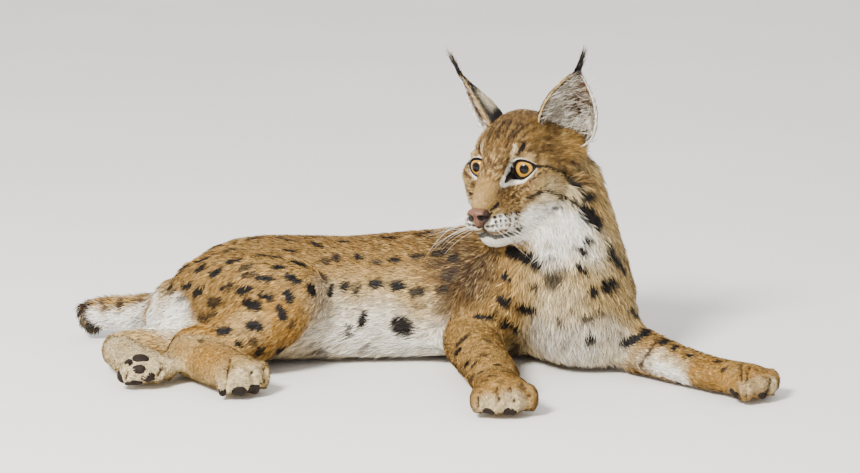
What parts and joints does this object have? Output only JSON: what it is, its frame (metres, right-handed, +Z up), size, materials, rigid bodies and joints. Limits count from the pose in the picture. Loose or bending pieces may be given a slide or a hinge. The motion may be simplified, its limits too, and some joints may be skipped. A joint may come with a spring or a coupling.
{
  "type": "eurasian lynx",
  "caption": "Life-size Eurasian lynx lying on its hip with the head raised and turned, ear tufts, cheek ruff, short black-tipped tail and broad paws, as a still museum model.",
  "frame": {"origin": "on the floor under the middle of the whole animal", "axes": "+Z up; the trunk lies along X with the tail towards -X; the chest, face and feet turn towards -Y"},
  "size_m": [0.7952, 0.4244, 0.3656],
  "materials": {
    "coat_tan": "short dense tan fur with dark brown spots, matte",
    "coat_pale": "soft pale cream fur, matte",
    "coat_dark": "black-brown fur, matte",
    "pad_leather": "dark brown bare pad skin, fine grain",
    "nose_leather": "pinkish brown bare nose skin, slightly damp",
    "eye_amber": "amber iris with a round black pupil under a clear wet surface"
  },
  "bodies": {
    "root": {"chest": "coat_tan", "ear_left": "coat_tan", "ear_right": "coat_tan", "eye_left": "eye_amber", "eye_right": "eye_amber", "fore_left_lower": "coat_tan", "fore_left_pad_1": "pad_leather", "fore_left_pad_2": "pad_leather", "fore_left_paw": "coat_pale", "fore_left_upper": "coat_tan", "fore_right_lower": "coat_tan", "fore_right_pad_1": "pad_leather", "fore_right_pad_2": "pad_leather", "fore_right_paw": "coat_pale", "fore_right_upper": "coat_tan", "head": "coat_tan", "hind_left_lower": "coat_tan", "hind_left_pad_1": "pad_leather", "hind_left_pad_2": "pad_leather", "hind_left_pad_3": "pad_leather", "hind_left_pad_4": "pad_leather", "hind_left_pad_5": "pad_leather", "hind_left_pad_6": "pad_leather", "hind_left_paw": "coat_pale", "hind_left_upper": "coat_tan", "hind_right_lower": "coat_tan", "hind_right_pad_1": "pad_leather", "hind_right_pad_2": "pad_leather", "hind_right_pad_3": "pad_leather", "hind_right_paw": "coat_pale", "hind_right_upper": "coat_tan", "neck": "coat_tan", "nose": "nose_leather", "tail": "coat_pale", "tail_tip": "coat_dark", "torso": "coat_tan"}
  },
  "joints": []
}
